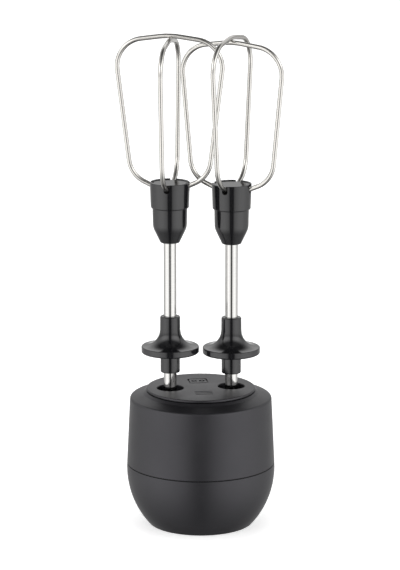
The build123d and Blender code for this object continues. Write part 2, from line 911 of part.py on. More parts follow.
def wire_loop(name, side, bearing, crown, half_width, foot_width, foot_height, bend_depth):
    """A bent wire in an upright plane: two legs, feet, sides, shoulders and a crown."""
    x = sides[side]
    upright_plane = Plane(
        (x, 0, lifts[side]), x_dir=(*polar(1, bearing), 0), z_dir=(*polar(1, bearing - 90), 0)
    )
    half = [
        (leg_radius, leg_foot),
        (leg_radius, cap_top - bend_depth),
        (foot_width, cap_top + foot_height),
        (half_width, crown - loop_shoulder_drop),
    ]
    roundings = [leg_bend, foot_rounding, shoulder_rounding]
    path = [(-across, height) for across, height in half] + [(0, crown)] + half[::-1]
    with BuildPart() as loop:
        with BuildLine(upright_plane) as wire:
            FilletPolyline(*path, radius=roundings + [crown_rounding] + roundings[::-1])
        with BuildSketch(Plane(wire.line @ 0, z_dir=wire.line % 0)):
            Circle(wire_radius)
        sweep()
    save(loop.part, name)


for side in sides:
    socket_gear(side)
    detent_spring(side)
    x = sides[side]
    hub_running = hub_radius + running_gap
    bush(f"{side}_lower_bush", hub_running, bush_radius, plate_top, plate_bottom, x)
    bush(f"{side}_upper_bush", hub_running, bush_radius, cover_bottom, cover_top, x)
    beater_shaft(side)
    splash_collar(side)
    wire_cup(side)
    wire_retainer(side)
    wire_cap(side)
    outer_crown = cap_top + loop_height
    inner_crown = outer_crown - wire_diameter - wire_gap
    outer = (outer_crown, outer_half_width, outer_foot_width, outer_foot_height, outer_bend_depth)
    inner = (inner_crown, inner_half_width, inner_foot_width, inner_foot_height, inner_bend_depth)
    # The wide loop of one beater is the outer one, and of the other the inner one.
    turn = 0 if side == "left" else 90
    wire_loop(f"{side}_outer_loop", side, phases[side] + turn, *outer)
    wire_loop(f"{side}_inner_loop", side, phases[side] + turn + 90, *inner)
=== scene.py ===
"""Looks for a twin beater mixing head: a round black gearbox with two steel wire beaters.

Lengths are in metres in Blender and in millimetres, times MM, where a size is written down.
The front faces -Y, the left beater stands on the -X side, and the base lies on Z = 0.
"""

import json
import math

import bmesh
import bpy
from bpy.props import FloatProperty, FloatVectorProperty, IntProperty, PointerProperty
from mathutils import Matrix, Vector


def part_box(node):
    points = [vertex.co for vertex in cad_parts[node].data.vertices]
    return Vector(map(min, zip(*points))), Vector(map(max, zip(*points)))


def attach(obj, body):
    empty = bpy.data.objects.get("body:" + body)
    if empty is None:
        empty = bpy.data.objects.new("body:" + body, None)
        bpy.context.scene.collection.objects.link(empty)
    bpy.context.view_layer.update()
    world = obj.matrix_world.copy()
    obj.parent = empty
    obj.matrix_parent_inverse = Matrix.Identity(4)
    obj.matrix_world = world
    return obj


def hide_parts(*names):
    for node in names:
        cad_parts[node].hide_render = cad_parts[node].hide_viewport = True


bl_info = {
    "name": "Twin Beater Mixing Head",
    "version": (1, 0, 0),
    "blender": (4, 5, 0),
    "location": "3D View > Sidebar > Mixer",
    "description": "Builds the visible pieces, finishes and studio of a twin beater mixing head",
    "category": "Add Mesh",
}

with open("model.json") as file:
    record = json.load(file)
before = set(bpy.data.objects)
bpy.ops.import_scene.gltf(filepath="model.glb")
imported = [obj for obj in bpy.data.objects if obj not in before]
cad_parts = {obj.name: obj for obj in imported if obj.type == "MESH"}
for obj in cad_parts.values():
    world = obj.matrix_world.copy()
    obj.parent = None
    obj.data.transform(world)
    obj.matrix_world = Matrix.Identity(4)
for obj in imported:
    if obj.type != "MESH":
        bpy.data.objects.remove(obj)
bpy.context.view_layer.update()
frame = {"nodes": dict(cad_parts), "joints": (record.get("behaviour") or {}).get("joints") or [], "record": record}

MM = 0.001
SIDES = ("left", "right")


def joint_place(name):
    """Where a joint's upright axis stands, as X and Y."""
    joint = next(j for j in frame["joints"] if j["name"] == name)
    return joint["pos_m"][0], joint["pos_m"][1]


AXES = {side: joint_place(f"{side}_socket_spin") for side in SIDES}


def radius_of(node):
    """Half the width of a round node."""
    low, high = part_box(node)
    return (high.x - low.x) / 2


def low_z(node):
    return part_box(node)[0].z


def high_z(node):
    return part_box(node)[1].z


# ---- Settings ----


def length(name, description, millimetres):
    """A length that a user may change, given in millimetres."""
    return FloatProperty(
        name=name, description=description, default=millimetres * MM, unit="LENGTH", precision=5
    )


def colour(name, description, code):
    """A colour that a user may change, given as an sRGB hex code."""
    return FloatVectorProperty(
        name=name, description=description, default=linear(code)[:3], subtype="COLOR"
    )


def linear(code):
    """An sRGB hex code as linear red, green, blue and alpha."""
    values = [int(code[i : i + 2], 16) / 255 for i in (1, 3, 5)]
    return (*[v / 12.92 if v <= 0.04045 else ((v + 0.055) / 1.055) ** 2.4 for v in values], 1.0)


class MixerShellSettings(bpy.types.PropertyGroup):
    """Sizes of the housing that the frame's boxes don't give."""

    wall: length("Wall", "Thickness of the two shells", 2.4)
    bowl_bulge: length("Bowl bulge", "Radius of the lower shell's curved side", 42.9)
    base_radius: length("Base radius", "Radius of the ring that the head stands on", 26.35)
    side_taper: length("Side taper", "How much narrower the upper shell is at its rim", 1.65)
    rim_drop: length("Rim drop", "Height of the neck above the upper shell's rim", 3.2)
    neck_gap: length("Neck gap", "Step between the neck and the top plate's edge", 0.2)
    screw_circle: length("Screw circle", "Distance of the base screws from the middle", 17.0)


class MixerBeaterSettings(bpy.types.PropertyGroup):
    """Sizes of the beaters that the frame's boxes don't give."""

    shaft_radius: length("Shaft radius", "Radius of the beater rods", 3.2)
    wire_radius: length("Wire radius", "Radius of the loops' wire", 1.2)
    collar_radius: length("Collar radius", "Radius of the sleeve at the splash disc", 5.05)
    holder_radius: length("Holder radius", "Radius of a wire holder under its cap", 8.6)
    notch_radius: length("Notch radius", "Half the width of the cap's notches", 1.45)
    notch_depth: length("Notch depth", "Depth of the cap's notches below its rim", 4.32)
    leg_radius: length("Leg radius", "Distance of the wire legs from the beater's axis", 3.4)
    wire_rounds: IntProperty(name="Wire sides", description="Flats round a wire", default=20, min=8)
    steps: IntProperty(
        name="Turning steps", description="Flats round a turned piece", default=160, min=24
    )


class MixerFinishSettings(bpy.types.PropertyGroup):
    """Colours of the finishes."""

    shell: colour("Shell", "Black of the textured shells", "#101012")
    gloss: colour("Gloss", "Black of the polished holders and collars", "#0E0E10")
    stainless: colour("Stainless", "Tint of the drawn wires", "#C4C2BE")
    floor: colour("Floor", "The table's pale top", "#F4F4F4")


class MixerStudioSettings(bpy.types.PropertyGroup):
    """Camera and lights."""

    turn: FloatProperty(
        name="Turn",
        description="Camera's angle round the head, from its front",
        default=math.radians(7.2),
        subtype="ANGLE",
    )
    distance: length("Distance", "How far in front of the head the camera stands", 1400)
    height: length("Height", "How far above the base the camera stands", 439)
    aim: length("Aim", "Height that the camera looks at", 123)
    lens: FloatProperty(
        name="Lens", description="Focal length in millimetres", default=180.9, min=20
    )
    panels: FloatProperty(
        name="Panels", description="Brightness of the white panels", default=3.4, min=0
    )


# ---- Node trees ----


def add_node(tree, kind, inputs=None, **settings):
    """Add a node, give it its settings, and fill or link its inputs."""
    node = tree.nodes.new(kind)
    node.location = (180 * (len(tree.nodes) % 12), -220 * (len(tree.nodes) // 12))
    for name, value in settings.items():
        setattr(node, name, value)
    for name, value in (inputs or {}).items():
        if isinstance(value, bpy.types.NodeSocket):
            tree.links.new(value, node.inputs[name])
        else:
            node.inputs[name].default_value = value
    return node


def geometry_tree(name, **inputs):
    """An empty geometry tree with named inputs; returns it and its group input's sockets."""
    tree = bpy.data.node_groups.new(name, "GeometryNodeTree")
    tree.interface.new_socket("Geometry", in_out="INPUT", socket_type="NodeSocketGeometry")
    for label, kind in inputs.items():
        tree.interface.new_socket(
            label.replace("_", " "), in_out="INPUT", socket_type=f"NodeSocket{kind}"
        )
    tree.interface.new_socket("Geometry", in_out="OUTPUT", socket_type="NodeSocketGeometry")
    return tree, add_node(tree, "NodeGroupInput").outputs


def close_tree(tree, geometry, material):
    """Realise what the tree made, give it its material, and put it out."""
    real = add_node(tree, "GeometryNodeRealizeInstances", {"Geometry": geometry}).outputs[0]
    painted = add_node(tree, "GeometryNodeSetMaterial", {"Geometry": real, "Material": material})
    add_node(tree, "NodeGroupOutput", {"Geometry": painted.outputs[0]})
    return tree


# Radius of the small circle that a piece is turned on, before its poles are welded.
AXIS_RING = 0.1 * MM
WELD = 0.001 * MM


def rounded_line(tree, edges, steps):
    """Edges as a curve, its corners rounded by the points' own radii."""
    line = add_node(tree, "GeometryNodeMeshToCurve", {"Mesh": edges})
    rounding = add_node(
        tree, "GeometryNodeInputNamedAttribute", {"Name": "rounding"}, data_type="FLOAT"
    )
    inputs = {
        "Curve": line.outputs[0],
        "Count": steps,
        "Radius": rounding.outputs["Attribute"],
        "Limit Radius": True,
    }
    return add_node(tree, "GeometryNodeFilletCurve", inputs, mode="POLY").outputs[0]


def turned_tree():
    """Turn an outline about an upright axis, its corners rounded by the outline's own radii."""
    tree, given = geometry_tree(
        "Turned piece", Steps="Int", Round_Steps="Int", Place="Vector", Material="Material"
    )
    outline = rounded_line(tree, given["Geometry"], given["Round Steps"])
    path = add_node(
        tree,
        "GeometryNodeCurvePrimitiveCircle",
        {"Resolution": given["Steps"], "Radius": AXIS_RING},
    )
    swept = add_node(
        tree,
        "GeometryNodeCurveToMesh",
        {"Curve": path.outputs["Curve"], "Profile Curve": outline},
    )
    welded = add_node(
        tree, "GeometryNodeMergeByDistance", {"Geometry": swept.outputs[0], "Distance": WELD}
    )
    placed = add_node(
        tree,
        "GeometryNodeTransform",
        {"Geometry": welded.outputs[0], "Translation": given["Place"]},
    )
    return close_tree(tree, placed.outputs[0], given["Material"])


def bent_wire_tree():
    """Bend a wire along a path with rounded corners.

    The wire keeps its own directions for its finish: wire_round across it and wire_along its run.
    """
    tree, given = geometry_tree(
        "Bent wire", Radius="Float", Rounds="Int", Bend_Steps="Int", Material="Material"
    )
    bent = rounded_line(tree, given["Geometry"], given["Bend Steps"])
    along = add_node(tree, "GeometryNodeSplineParameter")
    measured = add_node(
        tree,
        "GeometryNodeStoreNamedAttribute",
        {"Geometry": bent, "Name": "wire_along", "Value": along.outputs["Length"]},
        data_type="FLOAT",
        domain="POINT",
    )
    section = add_node(
        tree,
        "GeometryNodeCurvePrimitiveCircle",
        {"Resolution": given["Rounds"], "Radius": given["Radius"]},
    )
    spot = add_node(tree, "GeometryNodeInputPosition")
    marked = add_node(
        tree,
        "GeometryNodeStoreNamedAttribute",
        {"Geometry": section.outputs["Curve"], "Name": "wire_round", "Value": spot.outputs[0]},
        data_type="FLOAT_VECTOR",
        domain="POINT",
    )
    tube = add_node(
        tree,
        "GeometryNodeCurveToMesh",
        {"Curve": measured.outputs[0], "Profile Curve": marked.outputs[0], "Fill Caps": True},
    )
    return close_tree(tree, tube.outputs[0], given["Material"])


def ring_tree():
    """Copies of a piece at even angles round its own upright axis."""
    tree, given = geometry_tree(
        "Ring of copies",
        Count="Int",
        Circle="Float",
        Start="Float",
        Place="Vector",
        Material="Material",
    )
    points = add_node(
        tree, "GeometryNodeMeshCircle", {"Vertices": given["Count"], "Radius": given["Circle"]}
    )
    index = add_node(tree, "GeometryNodeInputIndex").outputs[0]
    share = add_node(tree, "ShaderNodeMath", {0: index, 1: given["Count"]}, operation="DIVIDE")
    angle = add_node(
        tree, "ShaderNodeMath", {0: share.outputs[0], 1: math.tau}, operation="MULTIPLY"
    )
    facing = add_node(tree, "ShaderNodeCombineXYZ", {"Z": angle.outputs[0]})
    copies = add_node(
        tree,
        "GeometryNodeInstanceOnPoints",
        {
            "Points": points.outputs["Mesh"],
            "Instance": given["Geometry"],
            "Rotation": facing.outputs[0],
        },
    )
    start = add_node(tree, "ShaderNodeCombineXYZ", {"Z": given["Start"]})
    placed = add_node(
        tree,
        "GeometryNodeTransform",
        {
            "Geometry": copies.outputs[0],
            "Translation": given["Place"],
            "Rotation": start.outputs[0],
        },
    )
    return close_tree(tree, placed.outputs[0], given["Material"])


# ---- Mesh helpers ----

# Edges that turn by more than this stay sharp.
SHARP = math.radians(32)


def add_object(name, mesh):
    piece = bpy.data.objects.new(name, mesh)
    bpy.context.scene.collection.objects.link(piece)
    return piece


def settle(piece):
    """Turn a piece's modifiers into its mesh."""
    depsgraph = bpy.context.evaluated_depsgraph_get()
    made = bpy.data.meshes.new_from_object(piece.evaluated_get(depsgraph))
    piece.modifiers.clear()
    old = piece.data
    piece.data = made
    bpy.data.meshes.remove(old)
    made.name = piece.name


def plain(piece):
    """Turn a piece's modifiers into its mesh, facing outwards."""
    settle(piece)
    shape = bmesh.new()
    shape.from_mesh(piece.data)
    bmesh.ops.recalc_face_normals(shape, faces=shape.faces)
    shape.to_mesh(piece.data)
    shape.free()
    return piece


def run_tree(piece, tree, **values):
    """Run a geometry tree on a piece with its inputs set by name, and keep the result."""
    modifier = piece.modifiers.new(tree.name, "NODES")
    modifier.node_group = tree
    for item in tree.interface.items_tree:
        if item.item_type == "SOCKET" and item.in_out == "INPUT":
            label = item.name.replace(" ", "_")
            if label in values:
                modifier[item.identifier] = values[label]
    return plain(piece)


def smooth(piece):
    """Shade a piece smooth between its edges, with flat faces kept flat."""
    piece.data.shade_smooth()
    piece.data.set_sharp_from_angle(angle=SHARP)
    weighted = piece.modifiers.new("Even shading", "WEIGHTED_NORMAL")
    weighted.keep_sharp = True
    return piece


def polyline(name, points, roundings, closed):
    """A line of edges whose points carry a rounding each."""
    edges = [(i, i + 1) for i in range(len(points) - 1)]
    if closed:
        edges.append((len(points) - 1, 0))
    mesh = bpy.data.meshes.new(name)
    mesh.from_pydata(points, edges, [])
    mesh.attributes.new("rounding", "FLOAT", "POINT").data.foreach_set("value", roundings)
    return add_object(name, mesh)


def turned(name, corners, finish, place=(0, 0), closed=False, steps=None):
    """A piece turned about an upright axis; corners are radius, height and rounding in metres."""
    settings = bpy.context.scene.mixer_beaters
    points = [(radius - AXIS_RING, -height, 0) for radius, height, _ in corners]
    piece = polyline(name, points, [corner[2] for corner in corners], closed)
    return run_tree(
        piece,
        tree_of(turned_tree, "Turned piece"),
        Steps=steps or settings.steps,
        Round_Steps=6,
        Place=(*place, 0),
        Material=finish,
    )


def tree_of(maker, name):
    """A node tree by name, made the first time it is asked for."""
    return bpy.data.node_groups.get(name) or maker()


def ring_of(piece, count, circle, finish, start=0.0, place=(0, 0, 0)):
    """Copies of a piece on a circle, turned to face outwards."""
    return run_tree(
        piece,
        tree_of(ring_tree, "Ring of copies"),
        Count=count,
        Circle=circle,
        Start=start,
        Place=place,
        Material=finish,
    )


def block(name, points):
    """A block between two like outlines, one after the other in points."""
    count = len(points) // 2
    sides = [(i, (i + 1) % count, (i + 1) % count + count, i + count) for i in range(count)]
    ends = [tuple(range(count))[::-1], tuple(range(count, 2 * count))]
    mesh = bpy.data.meshes.new(name)
    mesh.from_pydata(points, [], [*ends, *sides])
    return add_object(name, mesh)


def prism(name, outline, bottom, top):
    """An upright block with the given outline."""
    return block(name, [(x, y, z) for z in (bottom, top) for x, y in outline])


def rounded_rectangle(width, height, corner, steps=6):
    """Outline of a rectangle with round corners, about the origin."""
    points = []
    for quarter in range(4):
        turn = math.pi / 2 * quarter
        sign_x = 1 if quarter in (0, 3) else -1
        sign_y = 1 if quarter in (0, 1) else -1
        centre = (sign_x * (width / 2 - corner), sign_y * (height / 2 - corner))
        for step in range(steps + 1):
            angle = turn + math.pi / 2 * step / steps
            x, y = corner * math.cos(angle), corner * math.sin(angle)
            points.append((centre[0] + x, centre[1] + y))
    return points


def carve(piece, *cutters):
    """Cut shapes out of a piece, and remove them."""
    for cutter in cutters:
        cut = piece.modifiers.new("Cut", "BOOLEAN")
        cut.operation = "DIFFERENCE"
        cut.solver = "EXACT"
        cut.object = cutter
    plain(piece)
    for cutter in cutters:
        mesh = cutter.data
        bpy.data.objects.remove(cutter)
        bpy.data.meshes.remove(mesh)
    return piece


def fit(piece, body, slot, *nodes):
    """Finish a piece: it rides on a body and stands for CAD nodes."""
    smooth(plain(piece))
    settle(piece)
    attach(piece, body)
    if nodes:
        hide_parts(*nodes)
    return piece


def paint(node, finish):
    """Give a CAD node its finish."""
    piece = frame["nodes"][node]
    if not piece.material_slots:
        piece.data.materials.append(finish)
    for slot in piece.material_slots:
        slot.material = finish


# ---- Finishes ----

# The part of a noise's range that most of it falls in.
NOISE_SPAN = (0.3, 0.7)


def new_finish(name):
    """An empty material with a Principled shader; returns the material, its tree and the shader."""
    finish = bpy.data.materials.new(name)
    finish.use_nodes = True
    tree = finish.node_tree
    tree.nodes.clear()
    shader = add_node(tree, "ShaderNodeBsdfPrincipled")
    add_node(tree, "ShaderNodeOutputMaterial", {"Surface": shader.outputs[0]})
    return finish, tree, shader


def shaded(rgb, share):
    """A colour made darker or lighter by a share."""
    return (*[channel * share for channel in rgb], 1.0)


def dress(tree, shader, rgb, colour, roughness, relief):
    """Give a shader its colour, roughness and bump from patterns.

    colour is a pattern and the shares of rgb at its ends, roughness is a pattern, its two values
    and the span of the pattern between them, and relief is a pattern, its depth and its strength.
    """
    pattern, dark, light = colour
    mixed = add_node(
        tree,
        "ShaderNodeMix",
        {"Factor": pattern, "A": shaded(rgb, dark), "B": shaded(rgb, light)},
        data_type="RGBA",
    )
    pattern, low, high, span = roughness
    ranged = add_node(
        tree,
        "ShaderNodeMapRange",
        {
            "Value": pattern,
            "From Min": span[0],
            "From Max": span[1],
            "To Min": low,
            "To Max": high,
        },
    )
    pattern, depth, strength = relief
    bumped = add_node(
        tree, "ShaderNodeBump", {"Height": pattern, "Distance": depth, "Strength": strength}
    )
    tree.links.new(mixed.outputs["Result"], shader.inputs["Base Color"])
    tree.links.new(ranged.outputs[0], shader.inputs["Roughness"])
    tree.links.new(bumped.outputs[0], shader.inputs["Normal"])


def textured_abs():
    """Moulded ABS from a spark-eroded tool: a fine grain spreads light into soft broad bands."""
    finish, tree, shader = new_finish("moulded_abs_fine_texture")
    place = add_node(tree, "ShaderNodeTexCoord").outputs["Object"]
    # The real grain is near 0.1 mm; it is drawn at 0.35 mm so that it shows.
    grain = {"Vector": place, "Scale": 1 / (0.35 * MM), "Detail": 3.0}
    fine = add_node(tree, "ShaderNodeTexNoise", grain).outputs[0]
    patches = {"Vector": place, "Scale": 1 / (14 * MM), "Detail": 2.0}
    cloud = add_node(tree, "ShaderNodeTexNoise", patches).outputs[0]
    mottled = add_node(tree, "ShaderNodeMath", {0: fine, 1: cloud}, operation="ADD").outputs[0]
    dress(
        tree,
        shader,
        bpy.context.scene.mixer_finishes.shell,
        (cloud, 0.85, 1.15),
        (mottled, 0.38, 0.46, (0.7, 1.3)),
        (fine, 0.012 * MM, 0.6),
    )
    shader.inputs["IOR"].default_value = 1.54
    shader.inputs["Specular Tint"].default_value = (0.95, 0.93, 1.0, 1.0)
    return finish


def polished_abs():
    """Moulded ABS from a polished tool: a near mirror with faint waves and rub marks."""
    finish, tree, shader = new_finish("moulded_abs_polished")
    place = add_node(tree, "ShaderNodeTexCoord").outputs["Object"]
    waves = {"Vector": place, "Scale": 1 / (6 * MM), "Detail": 1.0}
    wave = add_node(tree, "ShaderNodeTexNoise", waves).outputs[0]
    marks = {"Vector": place, "Scale": 1 / (0.5 * MM), "Detail": 4.0}
    rub = add_node(tree, "ShaderNodeTexNoise", marks).outputs[0]
    dress(
        tree,
        shader,
        bpy.context.scene.mixer_finishes.gloss,
        (wave, 0.8, 1.2),
        (rub, 0.09, 0.16, NOISE_SPAN),
        (wave, 0.02 * MM, 0.5),
    )
    shader.inputs["IOR"].default_value = 1.54
    return finish


def drawn_stainless():
    """Drawn and polished stainless wire: bright, with faint lines along its length."""
    finish, tree, shader = new_finish("stainless_wire_drawn")
    around = add_node(tree, "ShaderNodeAttribute", attribute_name="wire_round").outputs["Vector"]
    along = add_node(tree, "ShaderNodeAttribute", attribute_name="wire_along").outputs["Fac"]
    squeezed = add_node(tree, "ShaderNodeMath", {0: along, 1: 0.02}, operation="MULTIPLY")
    shift = add_node(tree, "ShaderNodeCombineXYZ", {"Z": squeezed.outputs[0]})
    place = add_node(
        tree, "ShaderNodeVectorMath", {0: around, 1: shift.outputs[0]}, operation="ADD"
    )
    # The die's lines are near 0.05 mm apart; they are drawn at 0.2 mm.
    lines = {"Vector": place.outputs[0], "Scale": 1 / (0.2 * MM), "Detail": 2.0}
    drawn = add_node(tree, "ShaderNodeTexNoise", lines).outputs[0]
    dress(
        tree,
        shader,
        bpy.context.scene.mixer_finishes.stainless,
        (drawn, 0.9, 1.05),
        (drawn, 0.16, 0.26, NOISE_SPAN),
        (drawn, 0.004 * MM, 0.5),
    )
    shader.inputs["Metallic"].default_value = 1.0
    return finish


def ground_steel(name, code, low, high, spacing):
    """Ground round steel: fine rings about its axis, which stretch highlights along it."""
    finish, tree, shader = new_finish(name)
    place = add_node(tree, "ShaderNodeTexCoord").outputs["Object"]
    squeezed = add_node(
        tree, "ShaderNodeMapping", {"Vector": place, "Scale": (0.06, 0.06, 1.0)}
    ).outputs[0]
    lines = {"Vector": squeezed, "Scale": 1 / spacing, "Detail": 2.0}
    rings = add_node(tree, "ShaderNodeTexNoise", lines).outputs[0]
    dress(
        tree,
        shader,
        linear(code)[:3],
        (rings, 0.9, 1.05),
        (rings, low, high, NOISE_SPAN),
        (rings, 0.003 * MM, 0.5),
    )
    shader.inputs["Metallic"].default_value = 1.0
    return finish


def cast_metal(name, code, size, low, high, depth):
    """Cast or sintered metal: a pebbled skin of one grain size."""
    finish, tree, shader = new_finish(name)
    place = add_node(tree, "ShaderNodeTexCoord").outputs["Object"]
    skin = {"Vector": place, "Scale": 1 / size, "Detail": 3.0}
    pebbles = add_node(tree, "ShaderNodeTexNoise", skin).outputs[0]
    roughness = (pebbles, low, high, NOISE_SPAN)
    dress(tree, shader, linear(code)[:3], (pebbles, 0.8, 1.1), roughness, (pebbles, depth, 1.0))
    shader.inputs["Metallic"].default_value = 1.0
    return finish


def moulded(name, code, ior, low, high, size, depth):
    """A plain moulded polymer or rubber with a faint skin texture."""
    finish, tree, shader = new_finish(name)
    place = add_node(tree, "ShaderNodeTexCoord").outputs["Object"]
    texture = {"Vector": place, "Scale": 1 / size, "Detail": 2.0}
    skin = add_node(tree, "ShaderNodeTexNoise", texture).outputs[0]
    roughness = (skin, low, high, NOISE_SPAN)
    dress(tree, shader, linear(code)[:3], (skin, 0.8, 1.2), roughness, (skin, depth, 1.0))
    shader.inputs["IOR"].default_value = ior
    return finish


FINISHES = {
    "matte_black_shell": textured_abs,
    "gloss_black": polished_abs,
    "polished_steel": lambda: ground_steel(
        "stainless_rod_ground", "#BEBDBB", 0.08, 0.14, 0.25 * MM
    ),
    "plain_steel": lambda: ground_steel("machine_steel_turned", "#9C9C9C", 0.25, 0.38, 0.3 * MM),
    "cast_aluminium": lambda: cast_metal(
        "aluminium_die_cast", "#C0C2C4", 0.6 * MM, 0.4, 0.55, 0.01 * MM
    ),
    "sintered_bronze": lambda: cast_metal(
        "bronze_sintered", "#A9825A", 0.3 * MM, 0.45, 0.6, 0.02 * MM
    ),
    "gear_acetal": lambda: moulded(
        "acetal_moulded", "#1C1C1E", 1.48, 0.3, 0.42, 0.8 * MM, 0.006 * MM
    ),
    "black_nylon": lambda: moulded(
        "nylon_moulded", "#202022", 1.53, 0.4, 0.55, 0.5 * MM, 0.01 * MM
    ),
    "black_rubber": lambda: moulded(
        "nitrile_rubber", "#121212", 1.52, 0.6, 0.8, 0.4 * MM, 0.02 * MM
    ),
}
made_finishes = {}


def finish_of(slot):
    """The material for one of the record's slots, made the first time it is asked for."""
    if slot not in made_finishes:
        made_finishes[slot] = FINISHES[slot]()
    return made_finishes[slot]


# ---- Housing ----

# Flats round a turned piece of the housing, by its size.
LARGE_ROUND = 256
MEDIUM_ROUND = 96
SMALL_ROUND = 48

# How far a cutter reaches past what it cuts.
OVER = 1 * MM

SCREWS = 4
SCREW_START = math.radians(45)
SCREW_HEAD = 2.2 * MM


def arc(start, end, radius, steps):
    """Points of an arc that bulges away from the axis, its ends left out."""
    (x0, z0), (x1, z1) = start, end
    half = math.hypot(x1 - x0, z1 - z0) / 2
    reach = math.sqrt(radius**2 - half**2)
    normal = ((z0 - z1) / (2 * half), (x1 - x0) / (2 * half))
    centre = ((x0 + x1) / 2 + normal[0] * reach, (z0 + z1) / 2 + normal[1] * reach)
    first = math.atan2(z0 - centre[1], x0 - centre[0])
    last = math.atan2(z1 - centre[1], x1 - centre[0])
    angles = [first + (last - first) * step / steps for step in range(1, steps)]
    return [(centre[0] + radius * math.cos(a), centre[1] + radius * math.sin(a)) for a in angles]


def moved(piece, place):
    """Shift a piece's mesh to a place on the ground plan."""
    piece.data.transform(Matrix.Translation((*place, 0)))
    return piece


class MIXER_OT_shells(bpy.types.Operator):
    """Make the lower bowl, the upper shell and the gasket between them"""

    bl_idname = "mixer.shells"
    bl_label = "Shells"

    def execute(self, context):
        sizes = context.scene.mixer_shell
        finish = finish_of("matte_black_shell")
        upper = turned(
            "upper_shell", self.upper_outline(sizes), finish, closed=True, steps=LARGE_ROUND
        )
        fit(upper, "housing", "matte_black_shell", "upper_housing")
        lower = turned(
            "lower_shell", self.lower_outline(sizes), finish, closed=True, steps=LARGE_ROUND
        )
        carve(lower, self.counterbores(sizes, finish))
        fit(lower, "housing", "matte_black_shell", "lower_housing")
        paint("seam_gasket", finish_of("black_rubber"))
        return {"FINISHED"}

    def upper_outline(self, sizes):
        """Side wall, sloping shoulder, neck, and the ledge that the top plate rests on."""
        radius = radius_of("upper_housing")
        plate = radius_of("top_plate")
        foot = high_z("seam_gasket")
        neck = high_z("upper_housing")
        rim = radius - sizes.side_taper
        soft_edge = 1.6 * MM
        crease = plate + sizes.neck_gap + soft_edge
        crease_drop = 1.1 * MM
        ledge, ledge_drop = plate - 1.85 * MM, 2.15 * MM
        opening, web_drop = plate - 3.6 * MM, 3.75 * MM
        return [
            (radius, foot, 0.3 * MM),
            (rim, neck - sizes.rim_drop, soft_edge),
            (crease, neck - crease_drop, soft_edge),
            (plate + sizes.neck_gap, neck, 0.12 * MM),
            (ledge, neck, 0),
            (ledge, neck - ledge_drop, 0),
            (opening, neck - ledge_drop, 0),
            (opening, neck - web_drop, 0),
            (rim - sizes.wall, neck - web_drop, 0),
            (radius - sizes.wall, foot, 0),
        ]

    def lower_outline(self, sizes):
        """Bowl with its joint lip, the wall of the drive socket and the tower round the shaft."""
        radius = radius_of("upper_housing")
        seam = low_z("seam_gasket")
        base = sizes.base_radius
        socket = radius_of("socket_liner")
        mouth, tube = socket + 0.05 * MM, socket + 2.05 * MM
        floor_low = high_z("socket_liner")
        floor_high = floor_low + 2.4 * MM
        seat = floor_low + SCREW_HEAD
        tower, bore, pocket = 7.7 * MM, 5.25 * MM, 5.6 * MM
        joint_out = radius - sizes.wall - 0.15 * MM
        joint_in = radius - sizes.wall - 1.55 * MM
        joint_height = 2 * MM
        inner_foot = (base - 1.9 * MM, 5 * MM)
        inner_top = (joint_in, seam - 3.4 * MM)
        curve = arc((base, 0), (radius, seam), sizes.bowl_bulge, 28)
        inner_curve = arc(inner_foot, inner_top, sizes.bowl_bulge - sizes.wall, 16)
        return [
            (mouth, 0, 0.2 * MM),
            (base, 0, 0.8 * MM),
            *[(x, z, 0) for x, z in curve],
            (radius, seam, 0.35 * MM),
            (joint_out, seam, 0),
            (joint_out, seam + joint_height, 0),
            (joint_in, seam + joint_height, 0),
            (joint_in, seam - joint_height, 0),
            *[(x, z, 0) for x, z in inner_curve[::-1]],
            (tube, inner_foot[1], 0),
            (tube, floor_high, 0),
            (tower, floor_high, 0),
            (tower, seam, 0),
            (bore, seam, 0),
            (bore, seat, 0),
            (pocket, seat, 0),
            (pocket, floor_low, 0.2 * MM),
            (mouth, floor_low, 0),
        ]

    def counterbores(self, sizes, finish):
        """Cutters for the heads of the base screws."""
        head = 2.95 * MM
        floor_low = high_z("socket_liner")
        outline = [
            (0, floor_low - OVER, 0),
            (head, floor_low - OVER, 0),
            (head, floor_low + SCREW_HEAD, 0),
            (0, floor_low + SCREW_HEAD, 0),
        ]
        cutter = turned("counterbores", outline, finish, steps=SMALL_ROUND)
        return ring_of(cutter, SCREWS, sizes.screw_circle, finish, SCREW_START)


